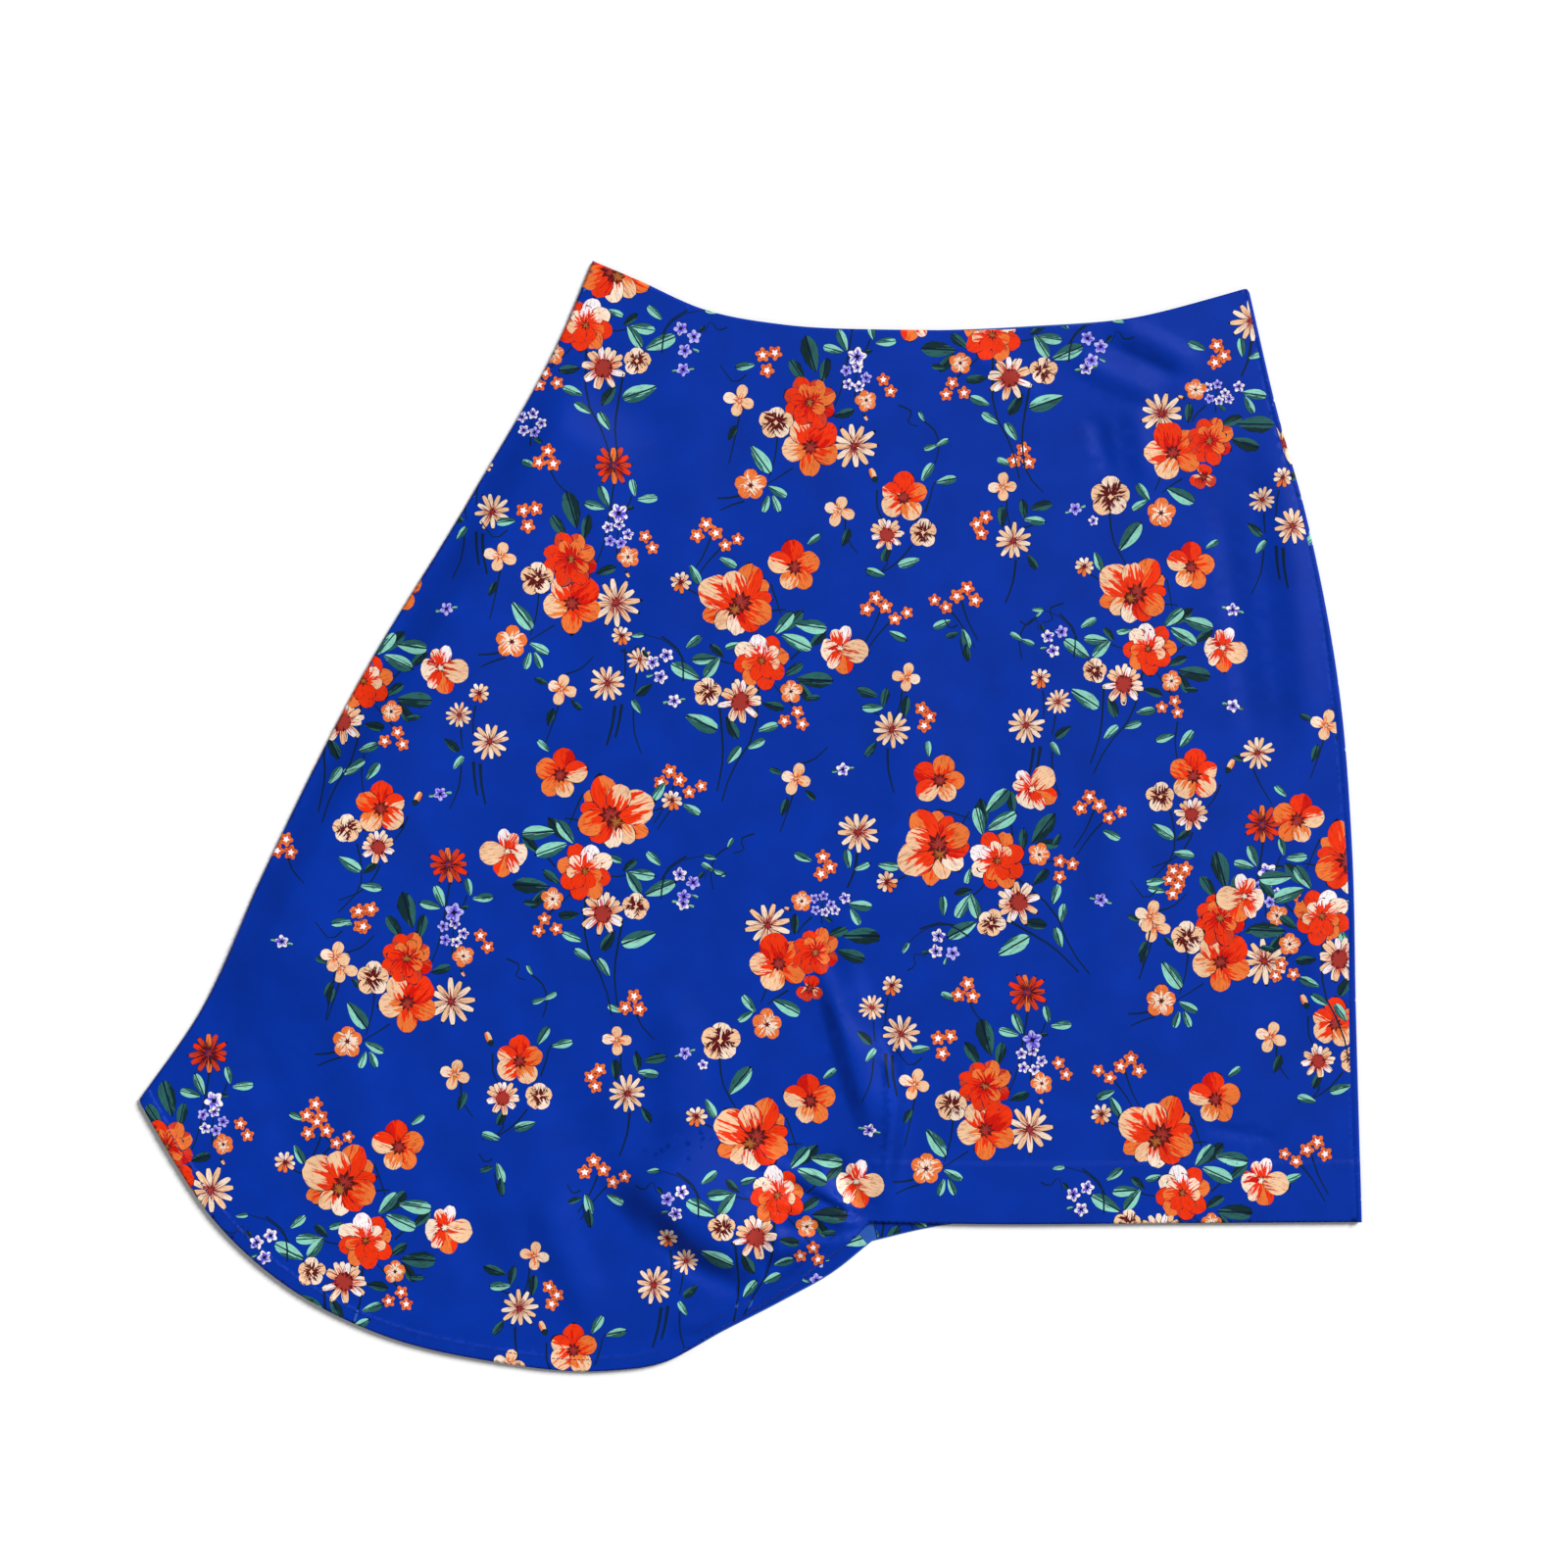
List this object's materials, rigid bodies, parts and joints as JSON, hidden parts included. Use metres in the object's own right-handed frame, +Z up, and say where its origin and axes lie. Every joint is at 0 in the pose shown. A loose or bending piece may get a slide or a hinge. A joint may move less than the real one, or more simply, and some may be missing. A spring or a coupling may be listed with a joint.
{
  "type": "asymmetric printed skirt laid flat",
  "caption": "Flat-laid woven skirt with a floral print, a short straight hem on one side and a longer curved hem gathered into a slash.",
  "frame": {"origin": "on the surface that the skirt lies on, under the middle of its bounding box", "axes": "+X across the skirt to the right as seen from above, towards its short side; +Y from the hem to the waist; +Z up from the surface"},
  "size_m": [0.7252, 0.6573, 0.0136],
  "materials": {
    "printed_satin": "royal blue woven satin with a tossed floral print in red, orange, cream and green",
    "plain_inside": "wrong side of the printed satin, paler blue, matt"
  },
  "bodies": {
    "root": {"front_panel": "printed_satin", "back_panel": "printed_satin", "back_waist_facing": "printed_satin", "back_short_hem": "printed_satin", "back_long_hem": "printed_satin", "front_short_hem": "plain_inside", "front_long_hem": "plain_inside"}
  },
  "joints": []
}
